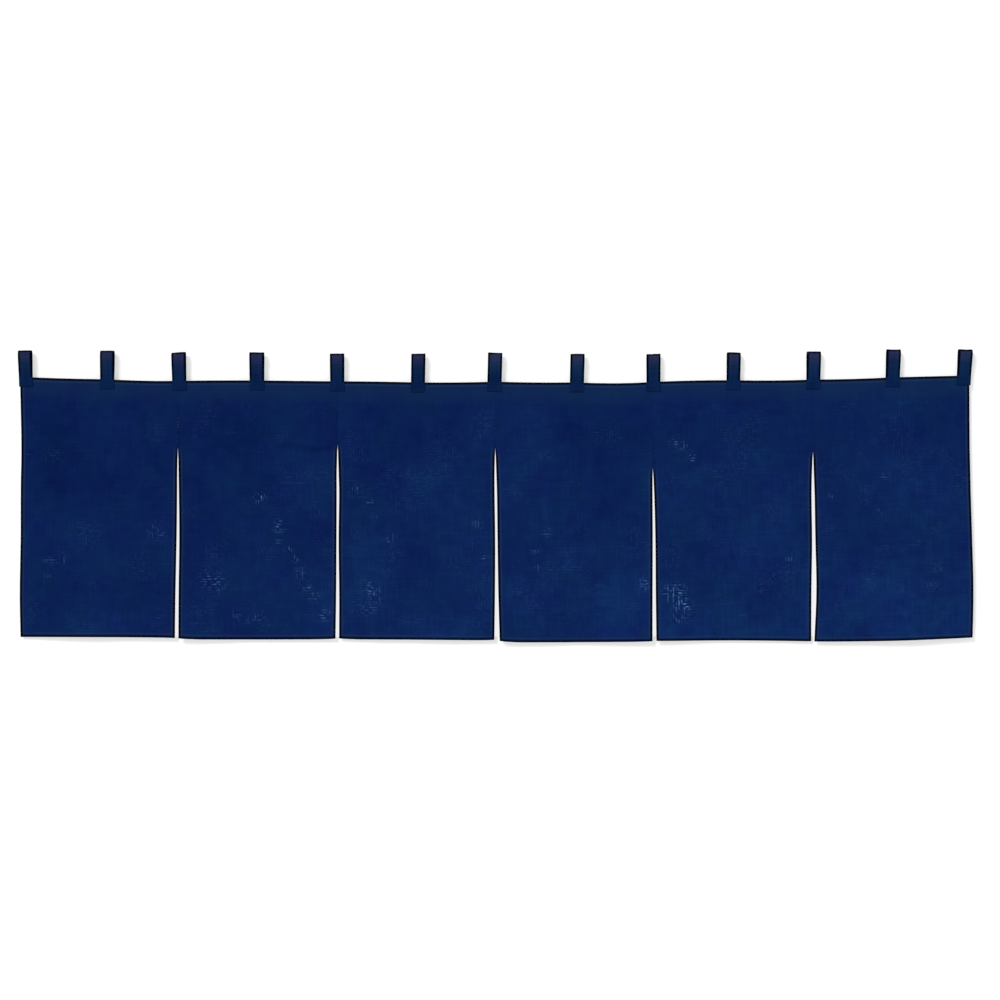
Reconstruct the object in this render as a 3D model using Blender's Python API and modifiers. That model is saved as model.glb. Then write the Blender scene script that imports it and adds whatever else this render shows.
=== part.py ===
"""Noren: a short split doorway curtain of six plain cloth panels, hung by thirteen cloth loops.

X runs along the curtain's width, the front faces -Y and Z is up. The origin lies on the line of the
rod that the loops hang from, at mid-width. The tables below are in millimetres.
"""

import math
from collections import namedtuple

import bmesh
import bpy

MM = 0.001

# Cloth and sewing, in millimetres
CLOTH_THICKNESS = 1.0
HEM_THICKNESS = 1.8
TAB_THICKNESS = 1.2
PIECE_GAP = 0.3
HEADING_HEM = 44.0
SIDE_HEM = 8.0
FOOT_HEM = 12.0
HEM_STEP = 2.0
TAB_SEWN_LENGTH = 18.5
LOOP_RADIUS = 8.0

# Mesh density
PANEL_COLUMNS = 8
PANEL_ROWS = 14
TAB_COLUMNS = 2
TAB_SIDE_STEPS = 5
TAB_CROWN_STEPS = 8

# Heights at which the table of sides and slits gives the places of their lips
LIP_HEIGHTS = (-205.0, -255.0, -340.0, -440.0, -530.0)
# The cloth stays flat under the loops' legs, to this depth below its top edge, and its sway grows
# from there over the second depth
FLAT_DEPTH = 26.0
SWAY_DEPTH = 420.0
# How far along the foot from a corner its hem draws the foot up
CORNER_REACH = 30.0

INDIGO_PANEL = (0.0035, 0.0150, 0.0820, 1.0)
INDIGO_TAB = (0.0065, 0.0210, 0.0740, 1.0)
CLOTH_ROUGHNESS = 0.9

# One row for each loop, from left to right. x is the middle of its crown and lean how far the loop's
# foot stands to the right of it, crown is the height of its fold and tilt how much the fold rises to
# the right. head is the height of the cloth's top edge there, and sag how far that edge hangs below a
# straight line half-way to the next loop.
Tab = namedtuple("Tab", "name x lean width crown tilt head sag")
TABS = (
    Tab("tab_01", -888.5, 1.6, 26.0, 15.0, 0.3, -35.0, 0.8),
    Tab("tab_02", -733.0, -0.2, 26.7, 14.7, 0.2, -39.2, 1.4),
    Tab("tab_03", -598.6, 1.3, 26.9, 10.9, 1.5, -42.3, -0.4),
    Tab("tab_04", -451.0, 0.3, 27.8, 11.1, -0.8, -41.5, 0.0),
    Tab("tab_05", -299.5, 0.3, 26.8, 9.2, 0.2, -43.2, -0.5),
    Tab("tab_06", -146.0, -0.8, 26.6, 8.9, 0.8, -45.3, 0.8),
    Tab("tab_07", -1.0, -1.4, 27.1, 10.4, -1.1, -43.8, 1.0),
    Tab("tab_08", 154.4, -1.3, 26.7, 8.7, 0.0, -45.1, 2.3),
    Tab("tab_09", 297.5, 0.0, 26.4, 8.3, 0.4, -44.3, -1.0),
    Tab("tab_10", 449.1, -0.8, 25.9, 11.1, 0.0, -41.1, 1.2),
    Tab("tab_11", 600.1, -0.9, 26.5, 13.0, 0.0, -39.8, 1.0),
    Tab("tab_12", 750.7, -1.8, 26.8, 16.8, 0.0, -35.5, 0.0),
    Tab("tab_13", 886.3, -2.9, 26.8, 16.6, -0.4, -32.3, 0.0),
)

# One row for each side or slit, from left to right. apex is the height where the slit begins, top and
# seam are the places of its line at the rod's height and at the apex, and left and right are the places
# of its two lips at the five lip heights. sway is how far the line hangs back of the rod at the
# hem, and turned how far each lip turns back from that. A side of the curtain has one lip.
Line = namedtuple("Line", "apex top seam left right sway turned")
LEFT_SIDE = (-895.8, -896.7, -896.9, -898.8, -897.3)
RIGHT_SIDE = (895.0, 896.1, 898.6, 901.2, 899.3)
LINES = (
    Line(-160.0, -898.8, -895.2, LEFT_SIDE, LEFT_SIDE, 3.0, (0.0, 0.0)),
    Line(
        -156.0, -598.6, -599.8,
        (-601.0, -601.2, -602.3, -604.4, -605.4),
        (-598.7, -598.0, -597.1, -598.3, -598.7),
        -2.0, (1.6, -1.4),
    ),
    Line(
        -161.0, -298.2, -298.3,
        (-300.2, -300.2, -300.6, -301.2, -302.5),
        (-296.9, -295.6, -296.8, -295.7, -295.9),
        2.5, (-1.8, 1.2),
    ),
    Line(
        -168.0, -1.0, -1.0,
        (-2.4, -2.3, -1.1, -1.5, -2.7),
        (0.6, 2.2, 3.2, 4.7, 7.2),
        -1.5, (1.2, -2.0),
    ),
    Line(
        -194.0, 297.0, 296.1,
        (295.8, 295.7, 296.1, 295.7, 295.5),
        (296.5, 298.9, 301.0, 301.8, 302.9),
        -3.0, (-1.0, 1.6),
    ),
    Line(
        -170.0, 599.5, 598.6,
        (596.9, 595.7, 597.2, 595.7, 595.5),
        (599.7, 601.6, 602.9, 605.0, 601.2),
        1.5, (1.4, -1.6),
    ),
    Line(-160.0, 893.6, 894.2, RIGHT_SIDE, RIGHT_SIDE, -2.5, (0.0, 0.0)),
)

# One row for each panel, from left to right. left, middle and right are the heights of its foot, and
# drawn is how far its two foot corners are drawn up by their hems. belly is how far its middle swells
# back at the foot, and its ripples have a depth, a count and a start as a share of one ripple.
Panel = namedtuple("Panel", "name left middle right drawn belly ripple_depth ripples ripple_start")
PANELS = (
    Panel("panel_1", -525.9, -526.0, -527.0, (0.0, -0.8), -4.0, 1.6, 1.5, 0.10),
    Panel("panel_2", -530.2, -530.6, -530.2, (2.0, 1.4), 3.5, 1.4, 2.0, 0.35),
    Panel("panel_3", -530.3, -530.9, -532.3, (1.8, 1.2), -3.0, 1.8, 1.5, 0.60),
    Panel("panel_4", -536.0, -535.7, -534.6, (3.0, 1.0), 4.5, 1.3, 2.0, 0.15),
    Panel("panel_5", -533.5, -532.4, -534.0, (0.3, 0.0), 3.0, 1.7, 1.5, 0.80),
    Panel("panel_6", -534.8, -532.9, -527.0, (0.6, 0.4), -4.5, 1.5, 2.0, 0.45),
)


def smoothstep(share):
    """Goes from 0 to 1 with a level start and a level end."""
    share = min(max(share, 0.0), 1.0)
    return share * share * (3.0 - 2.0 * share)


def curve_through(points, at):
    """The value at a place, on one smooth curve through (place, value) points in rising order."""
    at = min(max(at, points[0][0]), points[-1][0])
    span = next(i for i in range(len(points) - 1) if at <= points[i + 1][0])
    slopes = []
    for i in (span, span + 1):
        before, after = points[max(i - 1, 0)], points[min(i + 1, len(points) - 1)]
        slopes.append((after[1] - before[1]) / (after[0] - before[0]))
    (start, low), (end, high) = points[span], points[span + 1]
    length = end - start
    t = (at - start) / length
    return (
        low * (1.0 + 2.0 * t) * (1.0 - t) ** 2
        + high * t * t * (3.0 - 2.0 * t)
        + slopes[0] * length * t * (1.0 - t) ** 2
        - slopes[1] * length * t * t * (1.0 - t)
    )


def top_edge(x):
    """The height of the cloth's top edge: it runs from loop to loop and sags between them."""
    bay = next((i for i in range(len(TABS) - 2) if x <= TABS[i + 1].x), len(TABS) - 2)
    left, right = TABS[bay], TABS[bay + 1]
    t = (x - left.x) / (right.x - left.x)
    return left.head + (right.head - left.head) * t - left.sag * 4.0 * t * (1.0 - t)


def foot_edge(panel, from_left, from_right):
    """The height of a panel's foot, at distances from its two sides."""
    share = from_left / (from_left + from_right)
    height = curve_through(((0.0, panel.left), (0.5, panel.middle), (1.0, panel.right)), share)
    for drawn, distance in zip(panel.drawn, (from_left, from_right)):
        height += drawn * max(0.0, 1.0 - distance / CORNER_REACH) ** 2
    return height


def lip_x(line, lip, height):
    """The place of one lip of a slit, 0 the left and 1 the right, and of the seam above the slit."""
    half_gap = PIECE_GAP / 2.0 * (1.0 if lip else -1.0)
    if height > line.apex:
        return line.top + (line.seam - line.top) * height / line.apex + half_gap
    places = line.right if lip else line.left
    points = list(zip(LIP_HEIGHTS, places))
    points.reverse()
    points.append((line.apex, line.seam + half_gap))
    return curve_through(points, height)


def lip_y(line, lip, height, depth):
    """How far back one lip hangs, at a height and at a depth below the top edge."""
    sway = line.sway * smoothstep((depth - FLAT_DEPTH) / SWAY_DEPTH)
    open_part = smoothstep((line.apex - height) / (line.apex - LIP_HEIGHTS[-1]))
    return sway + line.turned[lip] * open_part


def panel_point(panel, left, right, share, inset, fall, drop):
    """A point of a panel's middle surface.

    share and inset place it across the panel, as a share of its width and in millimetres, and fall
    and drop place it down the panel in the same way.
    """
    height = panel.middle * fall + drop
    for _ in range(2):
        low_x, high_x = lip_x(left, 1, height), lip_x(right, 0, height)
        x = low_x + (high_x - low_x) * share + inset
        top, foot = top_edge(x), foot_edge(panel, x - low_x, high_x - x)
        height = top + (foot - top) * fall + drop
    across = (x - low_x) / (high_x - low_x)
    depth = top - height
    loose = smoothstep((depth - FLAT_DEPTH) / SWAY_DEPTH)
    window = math.sin(math.pi * across) ** 2
    ripple = math.sin(2.0 * math.pi * (panel.ripples * across + panel.ripple_start))
    left_y, right_y = lip_y(left, 1, height, depth), lip_y(right, 0, height, depth)
    y = left_y + (right_y - left_y) * smoothstep(across)
    y += loose * window * (panel.belly + panel.ripple_depth * ripple)
    return x, y, height


def inner_shares(count):
    """Even shares between 0 and 1, with neither end."""
    return [i / count for i in range(1, count)]


def grid_object(name, across, down, place, material, collection, parent):
    """An open sheet: a grid primitive whose points are placed by a function of their two numbers."""
    build = bmesh.new()
    bmesh.ops.create_grid(build, x_segments=across - 1, y_segments=down - 1, size=1.0)
    build.verts.ensure_lookup_table()
    for index, vert in enumerate(build.verts):
        vert.co = [value * MM for value in place(index % across, index // across)]
    mesh = bpy.data.meshes.new(name)
    build.to_mesh(mesh)
    build.free()
    mesh.shade_smooth()
    mesh.materials.append(material)
    sheet = bpy.data.objects.new(name, mesh)
    sheet.parent = parent
    collection.objects.link(sheet)
    return sheet


def thicken(sheet, thickness):
    """Gives the sheet its thickness, half to each side."""
    solid = sheet.modifiers.new("Thickness", "SOLIDIFY")
    solid.thickness = thickness * MM
    solid.offset = 0.0
    return solid


def make_panel(panel, left, right, collection, parent):
    """One length of cloth with its hems, between two slit lines."""
    across = [(0.0, 0.0), (0.0, SIDE_HEM), (0.0, SIDE_HEM + HEM_STEP)]
    across += [(share, 0.0) for share in inner_shares(PANEL_COLUMNS)]
    across += [(1.0, -SIDE_HEM - HEM_STEP), (1.0, -SIDE_HEM), (1.0, 0.0)]
    down = [(0.0, 0.0), (0.0, -HEADING_HEM), (0.0, -HEADING_HEM - HEM_STEP)]
    # The heading hem takes the place of the first even row.
    down += [(share, 0.0) for share in inner_shares(PANEL_ROWS)[1:]]
    down += [(1.0, FOOT_HEM + HEM_STEP), (1.0, FOOT_HEM), (1.0, 0.0)]

    # The object's origin is the middle of the panel's top edge.
    origin_x = (left.top + right.top) / 2.0
    origin_z = top_edge(origin_x)

    def place(column, row):
        # The grid's rows run upwards, and the list runs down from the top edge.
        share, inset = across[column]
        fall, drop = down[len(down) - 1 - row]
        x, y, height = panel_point(panel, left, right, share, inset, fall, drop)
        return x - origin_x, y, height - origin_z

    material = cloth_material(panel.name + "_cloth", INDIGO_PANEL)
    sheet = grid_object(panel.name, len(across), len(down), place, material, collection, parent)
    sheet.location = (origin_x * MM, 0.0, origin_z * MM)

    hem_columns = (0, 1, len(across) - 2, len(across) - 1)
    hem_rows = (0, 1, len(down) - 2, len(down) - 1)
    hems = sheet.vertex_groups.new(name="hems")
    for row in range(len(down)):
        for column in range(len(across)):
            if column in hem_columns or row in hem_rows:
                hems.add([row * len(across) + column], 1.0, "REPLACE")
    solid = thicken(sheet, HEM_THICKNESS)
    solid.vertex_group = hems.name
    solid.thickness_vertex_group = CLOTH_THICKNESS / HEM_THICKNESS
    return sheet


def loop_profile(tab):
    """The loop's middle line from the front leg's foot over the crown to the back leg's foot.

    The points are (y, height from the crown). The legs lie on the two faces of the heading, spread
    softly above it, and meet in a round crown that lets a rod pass.
    """
    leg_y = HEM_THICKNESS / 2.0 + PIECE_GAP + TAB_THICKNESS / 2.0
    rise = tab.crown - tab.head
    centre = -LOOP_RADIUS - TAB_THICKNESS / 2.0
    spread = [smoothstep(i / TAB_SIDE_STEPS) for i in range(1, TAB_SIDE_STEPS)]
    side = [(-leg_y, -rise - TAB_SEWN_LENGTH), (-leg_y, -rise)]
    for i, share in enumerate(spread, start=1):
        height = -rise + (rise + centre) * i / TAB_SIDE_STEPS
        side.append((-leg_y - (LOOP_RADIUS - leg_y) * share, height))
    crown = []
    for i in range(TAB_CROWN_STEPS + 1):
        angle = math.pi * i / TAB_CROWN_STEPS
        crown.append((-LOOP_RADIUS * math.cos(angle), centre + LOOP_RADIUS * math.sin(angle)))
    back = [(-y, height) for y, height in reversed(side)]
    return side + crown + back


def make_tab(tab, collection, parent):
    """One loop: a folded strip that straddles the heading, its origin at the middle of its crown."""
    profile = loop_profile(tab)
    rise = tab.crown - tab.head

    def place(column, row):
        share = column / TAB_COLUMNS - 0.5
        y, height = profile[row]
        # The fold's tilt fades out towards the sewn legs.
        tilt = tab.tilt * share * max(0.0, 1.0 + height / rise)
        return tab.width * share + tab.lean * -height / rise, y, height + tilt

    material = cloth_material(tab.name + "_cloth", INDIGO_TAB)
    loop = grid_object(tab.name, TAB_COLUMNS + 1, len(profile), place, material, collection, parent)
    loop.location = (tab.x * MM, 0.0, tab.crown * MM)
    thicken(loop, TAB_THICKNESS)
    return loop


def cloth_material(name, colour):
    """A plain dyed cloth."""
    material = bpy.data.materials.new(name)
    material.use_nodes = True
    shader = next(node for node in material.node_tree.nodes if node.type == "BSDF_PRINCIPLED")
    shader.inputs["Base Color"].default_value = colour
    shader.inputs["Roughness"].default_value = CLOTH_ROUGHNESS
    shader.inputs["Metallic"].default_value = 0.0
    return material


def main():
    for old in list(bpy.data.objects):
        bpy.data.objects.remove(old, do_unlink=True)
    collection = bpy.data.collections.new("noren_curtain")
    bpy.context.scene.collection.children.link(collection)
    rod_line = bpy.data.objects.new("rod_line", None)
    collection.objects.link(rod_line)

    for index, panel in enumerate(PANELS):
        make_panel(panel, LINES[index], LINES[index + 1], collection, rod_line)
    for tab in TABS:
        make_tab(tab, collection, rod_line)


main()
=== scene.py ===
# %% [markdown]
# # A short split doorway curtain
#
# A noren hangs across a shop or kitchen doorway. This one is six lengths of indigo hemp cloth, sewn
# edge to edge along the top and left open below, with thirteen cloth loops for a round rod. The CAD
# model already holds each cloth and loop as a thin plain solid. This lesson reads those solids and
# sews a finer cloth in the same places. Only what a plain solid doesn't hold is given here: the small
# creases, the colours and the worn places.

# %% Load the CAD model
import math
from collections import namedtuple

import bpy
import numpy as np
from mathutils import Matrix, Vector
from mathutils.bvhtree import BVHTree


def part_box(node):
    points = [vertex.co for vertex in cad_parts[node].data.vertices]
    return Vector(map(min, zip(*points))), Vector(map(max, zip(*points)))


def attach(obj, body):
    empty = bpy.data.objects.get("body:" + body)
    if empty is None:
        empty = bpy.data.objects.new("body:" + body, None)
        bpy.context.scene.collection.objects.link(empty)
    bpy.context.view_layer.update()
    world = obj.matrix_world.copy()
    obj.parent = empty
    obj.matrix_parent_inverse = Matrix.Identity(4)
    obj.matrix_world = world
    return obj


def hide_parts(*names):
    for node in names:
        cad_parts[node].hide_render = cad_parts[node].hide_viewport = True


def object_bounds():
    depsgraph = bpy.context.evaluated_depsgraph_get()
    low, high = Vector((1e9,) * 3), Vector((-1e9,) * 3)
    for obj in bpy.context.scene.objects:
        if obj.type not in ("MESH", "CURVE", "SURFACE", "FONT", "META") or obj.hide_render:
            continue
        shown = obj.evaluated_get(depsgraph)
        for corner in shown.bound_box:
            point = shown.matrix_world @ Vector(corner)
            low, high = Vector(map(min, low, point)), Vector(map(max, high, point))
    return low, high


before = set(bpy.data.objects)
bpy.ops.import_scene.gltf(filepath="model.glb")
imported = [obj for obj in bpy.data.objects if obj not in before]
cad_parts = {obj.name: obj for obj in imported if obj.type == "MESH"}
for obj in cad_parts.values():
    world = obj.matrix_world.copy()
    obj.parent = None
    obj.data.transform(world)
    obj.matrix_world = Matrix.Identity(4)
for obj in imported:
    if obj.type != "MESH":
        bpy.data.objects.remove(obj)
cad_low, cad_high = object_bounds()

MM = 0.001
PANELS = sorted(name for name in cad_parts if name.startswith("panel_"))
TABS = sorted(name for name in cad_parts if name.startswith("tab_"))
print("panels:", len(PANELS), "loops:", len(TABS))

# %% [markdown]
# ## The sizes a sewer works with
#
# Hems are folded to the back. The heading hem is deep, because the loops are sewn through it and the
# whole cloth hangs from it. The side and foot hems are narrow. All lengths here are in millimetres,
# and the places of the pieces come from the CAD solids.

# %% Hems and cloth
HEADING_HEM = 44.0
SIDE_HEM = 8.0
FOOT_HEM = 12.0
SEAM_INSET = 1.6             # how far a seam runs inside the folded edge of its hem
CLOTH_FRONT = 0.35           # half the thickness of the single cloth
HEM_FRONT = 0.55             # a hem pushes the front face forward a little
HEM_BACK = 0.9               # and stands out at the back, where the layers are
EDGE_RADIUS = 0.85           # roundness of a folded edge
SEWN_RADIUS = 0.3            # and of two edges sewn together
HEM_SLOPE = 0.8              # how soon the cloth settles beside a hem's inner edge
LEG_LENGTH = 20.0            # how far below the top edge the loops' legs press the heading flat
LEG_RELEASE = 8.0            # and over how much more it comes free
CLOTH_STEP = 2.7             # mesh size in the open cloth
TAB_THICKNESS = 1.2
TAB_STEP = 1.6
print("heading hem", HEADING_HEM, "mm, side hem", SIDE_HEM, "mm, foot hem", FOOT_HEM, "mm")

# %% [markdown]
# ## Reading the CAD cloth
#
# A CAD node is a closed solid of loose triangles. Its outline seen from the front is found by cutting
# its edges at a level and taking the lowest and highest crossing. The CAD cloth has large facets, so
# the crossings are read at many levels and then evened out, as a steam iron would.

# %% Where an outline lies
node_edges = {}


def edges_of(name):
    """The two ends of every edge of a CAD node, as two arrays of points."""
    if name not in node_edges:
        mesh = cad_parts[name].data
        points = np.empty(len(mesh.vertices) * 3)
        mesh.vertices.foreach_get("co", points)
        ends = np.empty(len(mesh.edges) * 2, int)
        mesh.edges.foreach_get("vertices", ends)
        points, ends = points.reshape(-1, 3), ends.reshape(-1, 2)
        node_edges[name] = points[ends[:, 0]], points[ends[:, 1]]
    return node_edges[name]


def reach(name, along, level, across):
    """The lowest and highest place of a node across one axis, at a level of another axis."""
    start, end = edges_of(name)
    rise = end[:, along] - start[:, along]
    slanted = rise != 0.0
    start, end, rise = start[slanted], end[slanted], rise[slanted]
    share = (level - start[:, along]) / rise
    hit = (share >= 0.0) & (share <= 1.0)
    places = start[hit, across] + share[hit] * (end - start)[hit, across]
    return places.min(), places.max()


X, Z = 0, 2                  # which number of a point tells its place along each axis
print("panel_1 at z = -0.3:", [round(v, 4) for v in reach("panel_1", Z, -0.3, X)])

# %% A line that reads on past its ends
EVENING = np.hanning(7)[1:-1] / np.hanning(7)[1:-1].sum()


def outline(name, along, levels, across, side):
    """One side of a node's outline at even levels, with the facets evened out."""
    places = np.array([reach(name, along, level, across)[side] for level in levels])
    margin = len(EVENING) // 2
    padded = np.pad(places, margin, mode="reflect", reflect_type="odd")
    return levels, np.convolve(padded, EVENING, "valid")


def read(line, at):
    """The line's value at each place; past its ends it runs straight on."""
    levels, places = line
    step = levels[1] - levels[0]
    low = places[0] + (at - levels[0]) * (places[1] - places[0]) / step
    high = places[-1] + (at - levels[-1]) * (places[-1] - places[-2]) / step
    inside = np.interp(at, levels, places)
    return np.where(at < levels[0], low, np.where(at > levels[-1], high, inside))


def smoothstep(share):
    """Goes from 0 to 1 with a level start and a level end."""
    share = np.clip(share, 0.0, 1.0)
    return share * share * (3.0 - 2.0 * share)


LEVELS = 70                  # how many places along an edge are read
CORNER_MARGIN = 12.0 * MM    # how far from the corners a side is read
END_MARGIN = 1.0 * MM        # and the top and the foot


def panel_lines(name):
    """The four edges of a panel: its left and right over z, its top and foot over x."""
    low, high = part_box(name)
    heights = np.linspace(low.z + CORNER_MARGIN, high.z - CORNER_MARGIN, LEVELS)
    left = outline(name, Z, heights, X, 0)
    right = outline(name, Z, heights, X, 1)
    ends = []
    for end_z, side in ((high.z, 1), (low.z, 0)):
        places = np.linspace(read(left, end_z) + END_MARGIN, read(right, end_z) - END_MARGIN, LEVELS)
        ends.append(outline(name, X, places, Z, side))
    return left, right, *ends


lines = {name: panel_lines(name) for name in PANELS}
print("edges read for", len(lines), "panels")

# %% [markdown]
# ## The hang of the cloth
#
# Each panel sways and swells a few millimetres as it hangs. The middle of the CAD cloth is found by
# looking at it from the front and from the back on a coarse grid, and a smooth surface is passed
# through those points. The same weights make soft random fields for the small wrinkles: a few random
# numbers on a coarse grid, read smoothly, give gentle swellings with no visible pattern.

# %% Smooth surfaces through coarse points
def smooth_weights(count, shares):
    """Weights that read a smooth curve through evenly spaced values, at shares from 0 to 1."""
    place = np.clip(shares, 0.0, 1.0) * (count - 1)
    span = np.clip(place.astype(int), 0, count - 2)
    t = place - span
    pulls = (
        (-t + 2 * t**2 - t**3) / 2,
        (2 - 5 * t**2 + 3 * t**3) / 2,
        (t + 4 * t**2 - 3 * t**3) / 2,
        (t**3 - t**2) / 2,
    )
    weights = np.zeros((len(shares), count))
    for step, pull in zip((-1, 0, 1, 2), pulls):
        np.add.at(weights, (np.arange(len(shares)), np.clip(span + step, 0, count - 1)), pull)
    return weights


def soft_field(seed, down, across, cells_down, cells_across):
    """Gentle random swellings between about -1 and 1, the same on every run."""
    values = np.random.default_rng(seed).uniform(-1.0, 1.0, (cells_down + 1, cells_across + 1))
    return smooth_weights(cells_down + 1, down) @ values @ smooth_weights(cells_across + 1, across).T


CAD_COLUMNS, CAD_ROWS = 8, 14
LIP_INSET = 0.6 * MM         # how far inside an edge the outermost rays go
FAR = 1.0                    # rays start this many metres in front of the cloth or behind it
HALF_WAY_DOWN = -0.3         # a height that every panel has


def faces_of(name):
    """The faces of a CAD node, ready to be met by rays."""
    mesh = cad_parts[name].data
    return BVHTree.FromPolygons([v.co for v in mesh.vertices], [p.vertices for p in mesh.polygons])


def middle_surface(name, shares_down, shares_across):
    """How far back the middle of a panel hangs, on a grid of shares down and across it."""
    left, right, top, foot = lines[name]
    faces = faces_of(name)
    coarse = np.zeros((CAD_ROWS + 1, CAD_COLUMNS + 1))
    for row in range(CAD_ROWS + 1):
        for column in range(CAD_COLUMNS + 1):
            z = HALF_WAY_DOWN
            # Each edge depends on the other, so the place is found in a few rounds.
            for _ in range(3):
                low_x, high_x = read(left, z) + LIP_INSET, read(right, z) - LIP_INSET
                x = low_x + (high_x - low_x) * column / CAD_COLUMNS
                high_z, low_z = read(top, x) - LIP_INSET, read(foot, x) + LIP_INSET
                z = high_z + (low_z - high_z) * row / CAD_ROWS
            front = faces.ray_cast(Vector((x, -FAR, z)), Vector((0.0, 1.0, 0.0)))[0]
            back = faces.ray_cast(Vector((x, FAR, z)), Vector((0.0, -1.0, 0.0)))[0]
            if front is not None and back is not None:
                coarse[row, column] = (front.y + back.y) / 2.0
    down = smooth_weights(CAD_ROWS + 1, shares_down)
    return down @ coarse @ smooth_weights(CAD_COLUMNS + 1, shares_across).T


# %% [markdown]
# ## Creases, deeper dye and open weave
#
# Cloth that was folded away and then hung keeps a few long shallow creases, and it pulls beside the
# point where each slit begins. Piece-dyed indigo is never quite even either: it is deeper where the
# cloth lay folded in the vat. And hand-spun hemp has places where the threads have slid apart, so
# that light comes through in a patch of tiny squares. Each of these is one short table that says which
# panel it happened to and how far across and down, so it moves with the panel. The open spots are
# too many to list: the table gives the runs where the cloth is worn, and a seed strews the spots.

# %% Places on a panel
def on_panel(number, across, down):
    """The place, in millimetres, at a share of a panel's width from its left and of its height down."""
    low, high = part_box(f"panel_{number}")
    return (low.x + across * (high.x - low.x)) / MM, (high.z - down * (high.z - low.z)) / MM


print("the middle of panel 3:", [round(value, 1) for value in on_panel(3, 0.5, 0.5)])

# %% Tables of what happened to this cloth
# A crease runs from (across, down) to (to_across, to_down) on its panel. width is its softness and
# depth how far it goes back, in millimetres, and its painted shade how much darker its colour is
# painted along it, as shade in the crease; below zero it is a painted highlight on a ridge.
Crease = namedtuple("Crease", "panel across down to_across to_down width depth shade")
CREASES = [Crease(*row) for row in (
    (1, 0.25, 0.23, 0.26, 0.55, 22, 1.6, 0.12),
    (1, 0.76, 0.16, 0.96, 0.43, 11, 1.3, 0.13),
    (2, 0.11, 0.35, 0.39, 0.70, 15, 1.5, 0.10),
    (2, 0.63, 0.25, 0.98, 0.26, 6, 0.9, 0.26),
    (3, 0.89, 0.28, 0.99, 0.28, 5, 0.8, 0.14),
    (4, 0.91, 0.38, 0.49, 0.63, 13, 1.5, 0.13),
    (4, 0.32, 0.45, 0.32, 0.53, 5, -0.7, -0.16),
    (5, 0.11, 0.36, 0.33, 0.30, 8, 1.1, 0.14),
    (5, 0.05, 0.14, 0.28, 0.15, 6, 0.8, 0.12),
    (5, 0.51, 0.09, 0.89, 0.04, 7, 1.0, 0.16),
    (5, 0.61, 0.10, 0.86, 0.13, 7, 0.8, 0.12),
    (5, 0.34, 0.84, 0.55, 0.81, 12, 1.0, 0.10),
)]
# A patch reaches so many millimetres to its sides and up and down. In this table amount is how much
# deeper the dye is, and below zero it is paler.
Patch = namedtuple("Patch", "x z reach_x reach_z amount")
DYE_PATCHES = [
    Patch(*on_panel(panel, across, down), reach_x, reach_z, amount)
    for panel, across, down, reach_x, reach_z, amount in (
        (1, 0.05, 0.60, 20, 160, -0.12),
        (1, 0.50, 0.95, 120, 30, -0.08),
        (2, 0.40, 0.20, 75, 45, 0.24),
        (4, 0.45, 0.20, 40, 30, 0.14),
        (4, 0.80, 0.20, 50, 22, 0.16),
        (4, 0.65, 0.75, 40, 30, 0.12),
        (5, 0.60, 0.20, 45, 25, 0.20),
        (6, 0.50, 0.25, 25, 25, 0.16),
        (6, 0.65, 0.20, 30, 20, 0.14),
    )
]
# Where rubbing has slid the threads apart, small open spots lie along a run. spread is how far they
# stray from it and reach how wide one is, in millimetres, and amount how much light they let through.
Run = namedtuple("Run", "panel across down to_across to_down spots spread reach amount")
WORN_RUNS = [Run(*row) for row in (
    (1, 0.20, 0.60, 0.25, 0.80, 3, 12, 8, 0.4),
    (1, 0.80, 0.60, 0.85, 0.60, 2, 10, 15, 0.3),
    (2, 0.50, 0.40, 0.90, 0.90, 11, 7, 8, 0.7),
    (2, 0.20, 0.75, 0.20, 0.80, 4, 10, 15, 0.3),
    (2, 0.35, 0.90, 0.50, 0.90, 3, 6, 8, 0.4),
    (3, 0.10, 0.40, 0.45, 0.65, 5, 14, 7, 0.5),
    (3, 0.20, 0.80, 0.20, 0.85, 4, 11, 14, 0.35),
    (3, 0.90, 0.50, 0.95, 0.85, 3, 4, 9, 0.5),
    (4, 0.35, 0.55, 0.15, 0.90, 5, 18, 7, 0.5),
    (4, 0.95, 0.75, 0.95, 0.80, 2, 3, 8, 0.9),
    (5, 0.10, 0.25, 0.30, 0.30, 4, 8, 8, 0.6),
    (5, 0.15, 0.80, 0.20, 0.90, 7, 10, 11, 0.8),
    (5, 0.50, 0.90, 0.90, 0.70, 5, 14, 7, 0.45),
    (6, 0.15, 0.40, 0.85, 0.80, 6, 30, 7, 0.45),
)]
SPOT_SEED = 21


def open_spots(runs, seed):
    """Small open spots beside each run, strewn with a fixed seed so that they never move."""
    draw = np.random.default_rng(seed)
    spots = []
    for run in runs:
        start = np.array(on_panel(run.panel, run.across, run.down))
        end = np.array(on_panel(run.panel, run.to_across, run.to_down))
        for index in range(run.spots):
            share = (index + draw.random()) / run.spots
            x, z = start + share * (end - start) + run.spread * draw.normal(size=2)
            reach_x, reach_z = run.reach * draw.uniform(0.6, 1.3, 2)
            spots.append(Patch(x, z, reach_x, reach_z, run.amount * draw.uniform(0.55, 0.9)))
    return spots


OPEN_WEAVE = open_spots(WORN_RUNS, SPOT_SEED)
print("creases:", len(CREASES), "dye patches:", len(DYE_PATCHES), "open places:", len(OPEN_WEAVE))


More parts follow.
